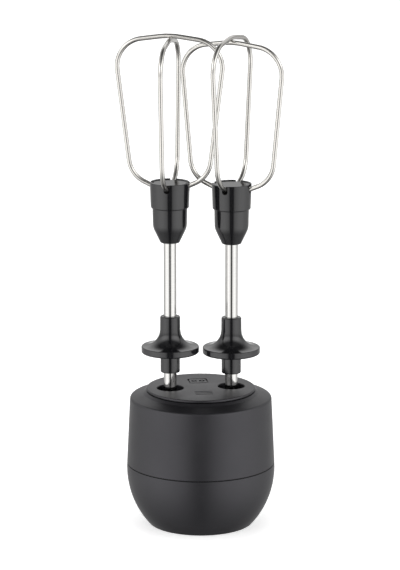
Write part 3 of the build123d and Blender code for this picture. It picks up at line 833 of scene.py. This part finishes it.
class MIXER_OT_plate(bpy.types.Operator):
    """Make the top plate with its hub holes and engraved marks"""

    bl_idname = "mixer.plate"
    bl_label = "Top plate"

    mark_width: length("Mark width", "Width of the engraved marks", 10.0)
    mark_line: length("Mark line", "Width of an engraved line", 0.8)
    mark_depth: length("Mark depth", "Depth of the engraving", 0.5)
    mark_offset: length("Mark offset", "Distance of the marks from the middle", 12.0)

    def execute(self, context):
        finish = finish_of("matte_black_shell")
        radius = radius_of("top_plate")
        low, top = low_z("top_plate"), high_z("top_plate")
        edge = top - 1.2 * MM
        spigot_out, spigot_in = radius - 2 * MM, radius - 4 * MM
        spigot_low = edge - 2.5 * MM
        inside = top - 2.4 * MM
        hole = radius_of("left_dust_seal") + 0.05 * MM
        lid = [
            (0, top, 0),
            (radius, top, 0.5 * MM),
            (radius, edge, 0.2 * MM),
            (spigot_out, edge, 0),
            (spigot_out, spigot_low, 0.3 * MM),
            (spigot_in, spigot_low, 0),
            (spigot_in, inside, 0),
            (0, inside, 0),
        ]
        plate = turned("top_plate_lid", lid, finish, steps=LARGE_ROUND)
        flare = hole + 0.35 * MM
        bore = [
            (0, low - OVER, 0),
            (hole, low - OVER, 0),
            (hole, top - 0.3 * MM, 0.3 * MM),
            (flare, top + 0.05 * MM, 0),
            (flare, top + OVER, 0),
            (0, top + OVER, 0),
        ]
        bores = [
            turned(f"{side}_bore", bore, finish, AXES[side], steps=MEDIUM_ROUND) for side in SIDES
        ]
        carve(plate, *bores, *self.marks(finish, top))
        fit(plate, "housing", "matte_black_shell", "top_plate")
        for side in SIDES:
            self.hub(side, hole, low, inside)
        return {"FINISHED"}

    def hub(self, side, hole, low, inside):
        """The collar under a hub hole, and the rubber ring in it."""
        wall = 1.3 * MM
        collar = [
            (hole, low, 0.2 * MM),
            (hole + wall, low, 0.2 * MM),
            (hole + wall, inside, 0),
            (hole, inside, 0),
        ]
        sleeve = turned(
            f"{side}_hub_collar",
            collar,
            finish_of("matte_black_shell"),
            AXES[side],
            closed=True,
            steps=MEDIUM_ROUND,
        )
        fit(sleeve, "housing", "matte_black_shell")
        seal = f"{side}_dust_seal"
        seal_low, seal_top = low_z(seal), high_z(seal)
        outer = hole - 0.05 * MM
        bore = outer - 0.84 * MM
        lip = [
            (bore, seal_low, 0.1 * MM),
            (outer, seal_low, 0),
            (outer, seal_top, 0.1 * MM),
            (bore + 0.2 * MM, seal_top, 0.15 * MM),
        ]
        ring = turned(
            f"{side}_seal_ring",
            lip,
            finish_of("black_rubber"),
            AXES[side],
            closed=True,
            steps=MEDIUM_ROUND,
        )
        fit(ring, "housing", "black_rubber", seal)

    def marks(self, finish, top):
        """Cutters for two plain marks: a frame with two rings, and three bars."""
        bottom, over = top - self.mark_depth, top + OVER
        line, offset = self.mark_line, self.mark_offset
        width, height = self.mark_width, self.mark_width - 1 * MM
        ring_radius, ring_place = 1.5 * MM, 2 * MM
        bar_spacing = 2.6 * MM
        around = rounded_rectangle(width, height, 1.3 * MM)
        within = rounded_rectangle(width - 2 * line, height - 2 * line, 0.6 * MM)
        outer = prism("mark_frame", around, bottom, over)
        carve(outer, prism("mark_middle", within, bottom - OVER, over + OVER))
        ring = [
            (ring_radius - line, bottom, 0),
            (ring_radius, bottom, 0),
            (ring_radius, over, 0),
            (ring_radius - line, over, 0),
        ]
        rings = [
            turned("mark_ring", ring, finish, (place, offset), closed=True, steps=SMALL_ROUND)
            for place in (-ring_place, ring_place)
        ]
        bar = rounded_rectangle(height, line, 0.3 * MM)
        bars = [
            moved(prism("mark_bar", bar, bottom, over), (0, step * bar_spacing - offset))
            for step in (-1, 0, 1)
        ]
        return [moved(outer, (0, offset)), *rings, *bars]


# ---- Beaters ----

# How far each beater's first notch stands turned from the X axis, in degrees.
PHASES = {"left": -16.6, "right": -28.4}

# Gap between a rod and what sits on it.
ROD_GAP = 0.01 * MM

# How deep the wires' legs reach under the top of the holder's cup.
LEG_DEPTH = 2.9 * MM

# Each loop's foot reach, foot rise over the cap, half width, and bend depth under the cap's top.
LOOPS = {
    "outer": (19.6 * MM, 3.0 * MM, 27.9 * MM, 4.6 * MM),
    "inner": (21.3 * MM, 2.4 * MM, 27.3 * MM, 5.0 * MM),
}

# Radii of a loop's bends, from the leg's end up to the shoulder, and then at the crown.
BENDS = (0, 2.5 * MM, 13.5 * MM, 14 * MM)
CROWN_BEND = 40 * MM
SHOULDER_DROP = 3.8 * MM


class MIXER_OT_collars(bpy.types.Operator):
    """Make the splash collars"""

    bl_idname = "mixer.collars"
    bl_label = "Splash collars"

    disc_drop: length("Disc drop", "From the collar's top down to the disc", 15.45)
    disc_thickness: length("Disc thickness", "Thickness at the disc's rim", 3.4)
    flare: length("Flare", "Radius of the sweep from sleeve to disc", 8.45)

    def execute(self, context):
        sizes = context.scene.mixer_beaters
        bore = sizes.shaft_radius + ROD_GAP
        draft = 0.15 * MM
        for side in SIDES:
            node = f"{side}_splash_collar"
            low, top = low_z(node), high_z(node)
            disc = radius_of(node)
            disc_top = top - self.disc_drop
            disc_low = disc_top - self.disc_thickness
            outline = [
                (bore, low, 0),
                (sizes.collar_radius - draft, low, 0.5 * MM),
                (sizes.collar_radius - draft, disc_low, 0.5 * MM),
                (disc, disc_low, 0.8 * MM),
                (disc, disc_top, 0.5 * MM),
                (sizes.collar_radius + draft, disc_top + 0.4 * MM, self.flare),
                (sizes.collar_radius, top, 0.8 * MM),
                (bore, top, 0),
            ]
            finish = finish_of("gloss_black")
            piece = turned(f"{side}_collar", outline, finish, AXES[side], closed=True)
            fit(piece, f"{side}_beater", "gloss_black", node)
        return {"FINISHED"}


class MIXER_OT_holders(bpy.types.Operator):
    """Make the wire holders: cup, notched cap and inner retainer"""

    bl_idname = "mixer.holders"
    bl_label = "Wire holders"

    def execute(self, context):
        sizes = context.scene.mixer_beaters
        finish = finish_of("gloss_black")
        for side in SIDES:
            cup, cap = f"{side}_wire_cup", f"{side}_wire_cap"
            step, top = low_z(cap), high_z(cap)
            rim = radius_of(cap)
            bore = rim - 1.85 * MM
            outline = self.cup_outline(side, sizes, step, bore)
            lower = turned(f"{side}_holder_cup", outline, finish, AXES[side])
            fit(lower, f"{side}_beater", "gloss_black", cup)
            dish = top - 0.45 * MM
            ceiling = top - 1.6 * MM
            outline = [
                (0, dish, 0),
                (rim - 1.0 * MM, dish, 0.12 * MM),
                (rim - 0.8 * MM, top, 0.2 * MM),
                (rim, top, 0.3 * MM),
                (rim - 0.45 * MM, step, 0.7 * MM),
                (bore, step, 0),
                (bore, ceiling, 0),
                (0, ceiling, 0),
            ]
            upper = turned(f"{side}_holder_cap", outline, finish, AXES[side])
            carve(upper, self.notches(side, sizes, rim, top, finish))
            fit(upper, f"{side}_beater", "gloss_black", cap)
            paint(f"{side}_wire_retainer", finish)
        return {"FINISHED"}

    def cup_outline(self, side, sizes, step, bore):
        """A solid cup over the rod's end: taper, side, and the spigot inside the cap."""
        cup = f"{side}_wire_cup"
        bottom, top = low_z(cup), high_z(cup)
        shaft_top = high_z(f"{side}_beater_shaft")
        rod = sizes.shaft_radius + ROD_GAP
        draft = 0.1 * MM
        taper_height = 7.7 * MM
        spigot = bore - 0.05 * MM
        return [
            (0, shaft_top, 0),
            (rod, shaft_top, 0),
            (rod, bottom, 0),
            (sizes.shaft_radius + 1.6 * MM, bottom, 0.5 * MM),
            (sizes.holder_radius - draft, bottom + taper_height, sizes.holder_radius),
            (sizes.holder_radius + draft, step, 0.15 * MM),
            (spigot, step, 0),
            (spigot, top, 0.2 * MM),
            (0, top, 0),
        ]

    def notches(self, side, sizes, rim, top, finish):
        """Cutters for four round-bottomed slots that the wires leave through."""
        radius, steps = sizes.notch_radius, 12
        middle = top - sizes.notch_depth + radius
        angles = [math.pi * step / steps for step in range(steps + 1)]
        bottom = [(-radius * math.cos(a), middle - radius * math.sin(a)) for a in angles]
        outline = [(-radius, top + OVER), *bottom, (radius, top + OVER)]
        reach = 2 * MM
        points = [(x, y, z) for x in (rim - reach, rim + reach) for y, z in outline]
        cutter = block("notch", points)
        start = math.radians(PHASES[side])
        return ring_of(cutter, 4, 0.0, finish, start, (*AXES[side], 0))


class MIXER_OT_shafts(bpy.types.Operator):
    """Make the beater rods with their driving lugs"""

    bl_idname = "mixer.shafts"
    bl_label = "Beater rods"

    lug_width: length("Lug width", "Thickness of the driving lugs", 1.5)
    lug_reach: length("Lug reach", "How far the lugs stand out of the rod", 1.6)

    def execute(self, context):
        radius = context.scene.mixer_beaters.shaft_radius
        finish = finish_of("polished_steel")
        groove_half, groove_depth = 0.6 * MM, 0.25 * MM
        for side in SIDES:
            node, spring = f"{side}_beater_shaft", f"{side}_detent_spring"
            low, top = low_z(node), high_z(node)
            groove = (low_z(spring) + high_z(spring)) / 2
            rod = [
                (0, low, 0),
                (radius, low, 0.8 * MM),
                (radius, groove - groove_half, 0.1 * MM),
                (radius - groove_depth, groove, 0.3 * MM),
                (radius, groove + groove_half, 0.1 * MM),
                (radius, top, 0),
                (0, top, 0),
            ]
            piece = turned(f"{side}_rod", rod, finish, AXES[side], steps=MEDIUM_ROUND)
            fit(piece, f"{side}_beater", "polished_steel", node)
            self.lugs(side, radius, low, finish)
        return {"FINISHED"}

    def lugs(self, side, radius, low, finish):
        """Four lugs that the socket gear turns, sunk a little into the rod."""
        height, sunk = 4 * MM, 0.4 * MM
        gear_seat = high_z("left_socket_gear") - 7.0 * MM
        seat = gear_seat + low - low_z("right_beater_shaft")
        outline = rounded_rectangle(self.lug_reach + sunk, self.lug_width, 0.25 * MM)
        lug = prism("lug", outline, seat, seat + height)
        moved(lug, (radius + self.lug_reach - (self.lug_reach + sunk) / 2, 0))
        start = math.radians(PHASES[side])
        lugs = ring_of(lug, 4, 0.0, finish, start, (*AXES[side], 0))
        lugs.name = f"{side}_rod_lugs"
        fit(lugs, f"{side}_beater", "polished_steel")


class MIXER_OT_loops(bpy.types.Operator):
    """Bend the four wire loops"""

    bl_idname = "mixer.loops"
    bl_label = "Wire loops"

    def execute(self, context):
        sizes = context.scene.mixer_beaters
        finish = drawn_stainless()
        for side in SIDES:
            wide_turn = 0 if side == "left" else 90
            for form in LOOPS:
                bearing = PHASES[side] + wide_turn + (90 if form == "inner" else 0)
                self.loop(side, form, math.radians(bearing), sizes, finish)
        return {"FINISHED"}

    def loop(self, side, form, bearing, sizes, finish):
        """A closed wire in an upright plane: two legs, feet, sides, shoulders and a crown."""
        node = f"{side}_{form}_loop"
        foot, foot_rise, half_width, bend_depth = LOOPS[form]
        cap_top = high_z(f"{side}_wire_cap")
        crown = high_z(node) - sizes.wire_radius
        slope = math.atan2(SHOULDER_DROP, half_width)
        peak = crown + CROWN_BEND * (1 / math.cos(slope) - 1)
        half = [
            (sizes.leg_radius, high_z(f"{side}_wire_cup") - LEG_DEPTH),
            (sizes.leg_radius, cap_top - bend_depth),
            (foot, cap_top + foot_rise),
            (half_width, peak - SHOULDER_DROP),
        ]
        line = [(-across, height) for across, height in half] + [(0, peak)] + half[::-1]
        x0, y0 = AXES[side]
        points = [(x0 + x * math.cos(bearing), y0 + x * math.sin(bearing), z) for x, z in line]
        roundings = [*BENDS, CROWN_BEND, *reversed(BENDS)]
        wire = polyline(f"{side}_{form}_wire", points, roundings, False)
        run_tree(
            wire,
            tree_of(bent_wire_tree, "Bent wire"),
            Radius=sizes.wire_radius,
            Rounds=sizes.wire_rounds,
            Bend_Steps=28,
            Material=finish,
        )
        fit(wire, f"{side}_beater", "polished_steel", node)


# ---- Inside and underneath ----


class MIXER_OT_drive(bpy.types.Operator):
    """Make the base screws and finish the drive end and gear train"""

    bl_idname = "mixer.drive"
    bl_label = "Drive end and gears"

    def execute(self, context):
        sizes = context.scene.mixer_shell
        steel = finish_of("plain_steel")
        low = high_z("socket_liner")
        seat, tip = low + SCREW_HEAD, high_z("housing_screws")
        head, shank, key = 2.8 * MM, 1.5 * MM, 1.5 * MM
        key_depth = SCREW_HEAD / 2
        profile = [
            (0, low, 0),
            (head, low, 0.7 * MM),
            (head, seat, 0),
            (shank, seat, 0),
            (shank, tip, 0.3 * MM),
            (0, tip, 0),
        ]
        screw = turned("base_screws", profile, steel, steps=SMALL_ROUND)
        turns = [math.pi * corner / 3 for corner in range(6)]
        hexagon = [(key * math.cos(turn), key * math.sin(turn)) for turn in turns]
        carve(screw, prism("hex_socket", hexagon, low - 0.8 * MM, low + key_depth))
        ring_of(screw, SCREWS, sizes.screw_circle, steel, SCREW_START)
        fit(screw, "housing", "plain_steel", "housing_screws")
        slots = {row["node"]: row["material_slot"] for row in frame["record"]["subparts"]}
        for node, piece in frame["nodes"].items():
            if not piece.hide_render:
                paint(node, finish_of(slots[node]))
        return {"FINISHED"}


# ---- Studio ----

# Brightness round the head, from the camera's direction (0) to behind the head (1).
PANELS = (
    (0.0, 0.08),
    (0.03, 0.02),
    (0.062, 0.02),
    (0.082, 0.5),
    (0.14, 0.75),
    (0.27, 1.0),
    (0.4, 0.95),
    (0.55, 0.6),
    (0.7, 0.32),
    (0.85, 0.34),
    (1.0, 0.45),
)
# Brightness from straight down (0) through the horizon (0.5) to straight up (1).
HEIGHTS = (
    (0.0, 0.16),
    (0.07, 0.18),
    (0.33, 0.75),
    (0.47, 0.75),
    (0.54, 0.58),
    (0.6, 0.5),
    (0.66, 1.0),
    (0.78, 1.0),
    (0.9, 0.12),
    (1.0, 0.08),
)


class MIXER_OT_studio(bpy.types.Operator):
    """Set the pale table, the soft light and the camera"""

    bl_idname = "mixer.studio"
    bl_label = "Studio"

    def execute(self, context):
        studio = context.scene.mixer_studio
        context.scene.view_settings.view_transform = "Standard"
        self.table(context)
        self.surroundings(context)
        direction = Vector((-math.sin(studio.turn), -math.cos(studio.turn), 0))
        across = Vector((math.cos(studio.turn), -math.sin(studio.turn), 0))
        camera = bpy.data.objects.new("camera", bpy.data.cameras.new("camera"))
        context.scene.collection.objects.link(camera)
        camera.data.lens = studio.lens
        camera.data.clip_end = 50
        camera.location = direction * studio.distance + Vector((0, 0, studio.height))
        side_step = 0.4 * MM
        target = Vector((0, 0, studio.aim)) - across * side_step
        camera.rotation_euler = (target - camera.location).to_track_quat("-Z", "Y").to_euler()
        context.scene.camera = camera
        self.soft_light("overhead", (0.0, 0.3, 1.6), 1.2, 6.0)
        return {"FINISHED"}

    def soft_light(self, name, place, size, watts):
        """A square soft light that looks at the head."""
        light = bpy.data.lights.new(name, "AREA")
        light.size = size
        light.energy = watts
        lamp = bpy.data.objects.new(name, light)
        bpy.context.scene.collection.objects.link(lamp)
        lamp.location = place
        towards = Vector((0, 0, 0.12)) - lamp.location
        lamp.rotation_euler = towards.to_track_quat("-Z", "Y").to_euler()
        lamp.visible_camera = False
        lamp.visible_glossy = False

    def table(self, context):
        """A wide pale table of lit acrylic, which the polished parts don't mirror."""
        half = 8.0
        corners = [(-half, -half, 0), (half, -half, 0), (half, half, 0), (-half, half, 0)]
        mesh = bpy.data.meshes.new("table")
        mesh.from_pydata(corners, [], [(0, 1, 2, 3)])
        table = add_object("table", mesh)
        finish, tree, shader = new_finish("acrylic_table")
        rgb = context.scene.mixer_finishes.floor
        place = add_node(tree, "ShaderNodeTexCoord").outputs["Object"]
        patches = {"Vector": place, "Scale": 1 / 0.8, "Detail": 1.0}
        haze = add_node(tree, "ShaderNodeTexNoise", patches).outputs[0]
        shades = {"Factor": haze, "A": shaded(rgb, 0.99), "B": shaded(rgb, 1.0)}
        mixed = add_node(tree, "ShaderNodeMix", shades, data_type="RGBA")
        tree.links.new(mixed.outputs["Result"], shader.inputs["Base Color"])
        shader.inputs["Roughness"].default_value = 0.6
        shader.inputs["Emission Color"].default_value = (1, 1, 1, 1)
        shader.inputs["Emission Strength"].default_value = 0.5
        mesh.materials.append(finish)
        table.visible_glossy = False
        table.visible_shadow = False

    def surroundings(self, context):
        """White panels at the sides and behind the head, a dark gap in front, a dark ceiling."""
        studio = context.scene.mixer_studio
        world = bpy.data.worlds.new("studio")
        world.use_nodes = True
        context.scene.world = world
        tree = world.node_tree
        tree.nodes.clear()
        look = add_node(tree, "ShaderNodeTexCoord").outputs["Generated"]
        turned_look = add_node(
            tree,
            "ShaderNodeMapping",
            {"Vector": look, "Rotation": (0, 0, studio.turn)},
            vector_type="POINT",
        ).outputs[0]
        parts = add_node(tree, "ShaderNodeSeparateXYZ", {"Vector": turned_look})
        across, depth, height = (parts.outputs[axis] for axis in "XYZ")
        side = add_node(tree, "ShaderNodeMath", {0: across}, operation="ABSOLUTE").outputs[0]
        front = add_node(tree, "ShaderNodeMath", {0: depth, 1: -1.0}, operation="MULTIPLY")
        bearing = add_node(
            tree, "ShaderNodeMath", {0: side, 1: front.outputs[0]}, operation="ARCTAN2"
        )
        share = add_node(
            tree, "ShaderNodeMath", {0: bearing.outputs[0], 1: math.pi}, operation="DIVIDE"
        )
        rise = add_node(tree, "ShaderNodeMapRange", {"Value": height, "From Min": -1.0})
        strength = studio.panels
        for value, stops in ((share, PANELS), (rise, HEIGHTS)):
            ramp = add_node(tree, "ShaderNodeValToRGB", {"Fac": value.outputs[0]})
            elements = ramp.color_ramp.elements
            while len(elements) < len(stops):
                elements.new(1.0)
            for element, (position, grey) in zip(elements, stops):
                element.position = position
                element.color = (grey, grey, grey, 1)
            strength = add_node(
                tree, "ShaderNodeMath", {0: ramp.outputs[0], 1: strength}, operation="MULTIPLY"
            ).outputs[0]
        glow = add_node(tree, "ShaderNodeBackground", {"Strength": strength})
        add_node(tree, "ShaderNodeOutputWorld", {"Surface": glow.outputs[0]})


class MIXER_PT_panel(bpy.types.Panel):
    """Lists the pieces and the studio"""

    bl_idname = "MIXER_PT_panel"
    bl_label = "Twin Beater Mixing Head"
    bl_space_type = "VIEW_3D"
    bl_region_type = "UI"
    bl_category = "Mixer"

    def draw(self, context):
        column = self.layout.column(align=True)
        for operator in OPERATORS:
            column.operator(operator.bl_idname)
        for group in ("mixer_shell", "mixer_beaters", "mixer_finishes", "mixer_studio"):
            settings = getattr(context.scene, group)
            box = self.layout.box()
            for name in settings.__annotations__:
                box.prop(settings, name)


OPERATORS = (
    MIXER_OT_shells,
    MIXER_OT_plate,
    MIXER_OT_collars,
    MIXER_OT_holders,
    MIXER_OT_shafts,
    MIXER_OT_loops,
    MIXER_OT_drive,
    MIXER_OT_studio,
)
SETTINGS = {
    "mixer_shell": MixerShellSettings,
    "mixer_beaters": MixerBeaterSettings,
    "mixer_finishes": MixerFinishSettings,
    "mixer_studio": MixerStudioSettings,
}


def register():
    for group in (*SETTINGS.values(), *OPERATORS, MIXER_PT_panel):
        bpy.utils.register_class(group)
    for name, group in SETTINGS.items():
        setattr(bpy.types.Scene, name, PointerProperty(type=group))


def unregister():
    for name in SETTINGS:
        delattr(bpy.types.Scene, name)
    for group in (MIXER_PT_panel, *reversed(OPERATORS), *reversed(SETTINGS.values())):
        bpy.utils.unregister_class(group)


def main():
    """Make everything in order."""
    register()
    bpy.ops.mixer.shells()
    bpy.ops.mixer.plate()
    bpy.ops.mixer.collars()
    bpy.ops.mixer.holders()
    bpy.ops.mixer.shafts()
    bpy.ops.mixer.loops()
    bpy.ops.mixer.drive()
    bpy.ops.mixer.studio()


if __name__ == "__main__":
    main()
